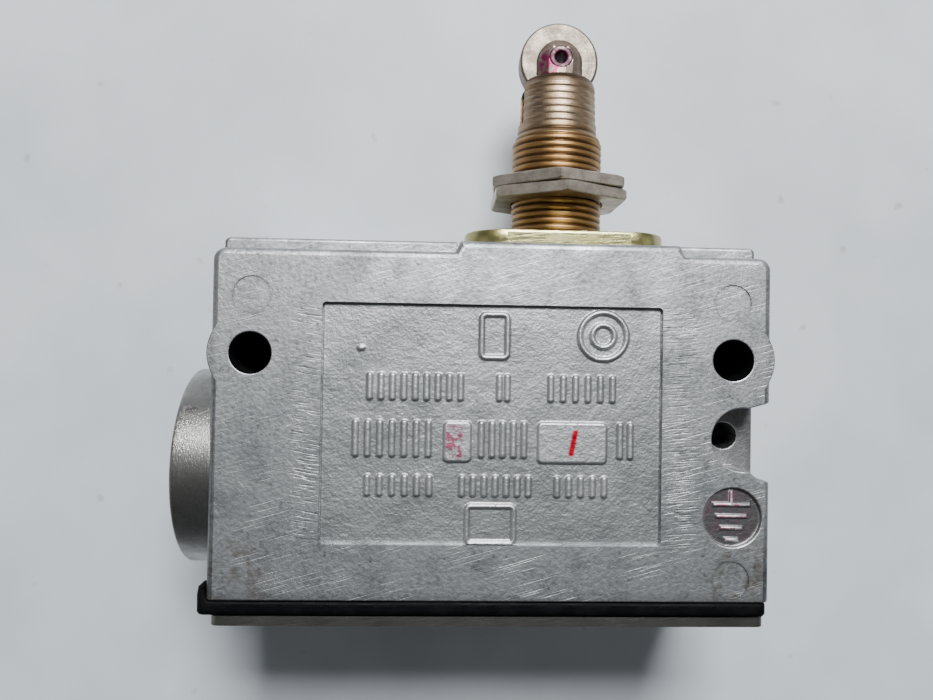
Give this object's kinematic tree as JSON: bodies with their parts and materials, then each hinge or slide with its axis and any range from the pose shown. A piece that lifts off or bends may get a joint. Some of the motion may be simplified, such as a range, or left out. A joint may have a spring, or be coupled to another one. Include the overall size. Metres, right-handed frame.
{
  "type": "limit switch",
  "caption": "Metal-bodied limit switch: die-cast box with through mounting holes, side cable inlet, and a roller plunger in a threaded sleeve with lock nuts.",
  "frame": {"origin": "on the back mounting face, midway between the axes of the two mounting holes", "axes": "+Z is the normal of the front face, +Y is the way the plunger points, +X is to the right as the front face is looked at; the switch lies on its back"},
  "size_m": [0.0707, 0.0763, 0.03],
  "materials": {
    "cast_aluminium": "die-cast, matt, filed and scratched",
    "turned_aluminium": "turned",
    "rubber": "matt",
    "brass": "threaded, tarnished",
    "contact_brass": "stamped",
    "nickel_plated_steel": "dull nickel",
    "yellow_passivated_steel": "zinc, yellow passivated",
    "bright_steel": "bright",
    "spring_steel": "drawn wire",
    "phenolic_plastic": "moulded",
    "contact_silver": "polished",
    "lacquered_rivet": "red sealing lacquer on a steel rivet"
  },
  "bodies": {
    "housing": {"housing": "cast_aluminium", "cover_gasket": "rubber", "cover_plate": "bright_steel", "cover_screw_rear_left": "bright_steel", "cover_screw_rear_right": "bright_steel", "cover_screw_front_left": "bright_steel", "cover_screw_front_right": "bright_steel", "flange_plate": "yellow_passivated_steel", "flange_screw_rear_left": "yellow_passivated_steel", "flange_screw_rear_right": "yellow_passivated_steel", "flange_screw_front_left": "yellow_passivated_steel", "flange_screw_front_right": "yellow_passivated_steel", "sleeve_gasket": "rubber", "threaded_sleeve": "brass", "lock_nut_lower": "nickel_plated_steel", "lock_nut_upper": "nickel_plated_steel", "spring_seat": "bright_steel", "return_spring": "spring_steel", "switch_case": "phenolic_plastic", "switch_lid": "phenolic_plastic", "contact_spring": "spring_steel", "common_terminal": "contact_brass", "closed_terminal": "contact_brass", "open_terminal": "contact_brass", "closed_contact": "contact_silver", "open_contact": "contact_silver", "terminal_screw_common": "bright_steel", "terminal_screw_open": "bright_steel", "terminal_screw_closed": "bright_steel", "switch_screw_left": "bright_steel", "switch_screw_right": "bright_steel", "inlet_bushing": "turned_aluminium", "inlet_washer": "bright_steel", "inlet_seal": "rubber"},
    "plunger": {"plunger": "bright_steel", "roller_axle": "lacquered_rivet", "plunger_seal": "rubber", "overtravel_spring": "spring_steel"},
    "roller": {"roller": "nickel_plated_steel"},
    "overtravel_pin": {"overtravel_pin": "bright_steel"},
    "switch_button": {"switch_button": "phenolic_plastic"},
    "contact_blade": {"contact_blade": "contact_brass", "moving_contact": "contact_silver"}
  },
  "joints": [
    {"name": "plunger_slide", "type": "slide", "parent": "housing", "child": "plunger", "axis": [0, -1, 0], "range_m": [0, 0.0032], "stiffness_N_per_m": 1000, "springref_m": -0.008, "deforming": ["return_spring"]},
    {"name": "roller_spin", "type": "hinge", "parent": "plunger", "child": "roller", "pos_m": [0.0091, 0.0399, 0.015], "axis": [0, 0, 1], "continuous": true},
    {"name": "overtravel_slide", "type": "slide", "parent": "plunger", "child": "overtravel_pin", "axis": [0, 1, 0], "range_m": [0, 0.0022], "deforming": ["overtravel_spring"]},
    {"name": "button_slide", "type": "slide", "parent": "housing", "child": "switch_button", "axis": [0, -1, 0], "range_m": [0, 0.001]},
    {"name": "blade_tilt", "type": "hinge", "parent": "housing", "child": "contact_blade", "pos_m": [-0.0066, -0.00595, 0.015], "axis": [0, 0, 1], "range_deg": [-3.7, 0], "deforming": ["contact_spring"]}
  ],
  "couplings": [
    {"joint": "overtravel_slide", "follows": "plunger_slide", "ratio": 0.6875},
    {"joint": "button_slide", "follows": "plunger_slide", "ratio": 0.3125},
    {"joint": "blade_tilt", "follows": "plunger_slide", "rad_per_m": -19.904}
  ]
}
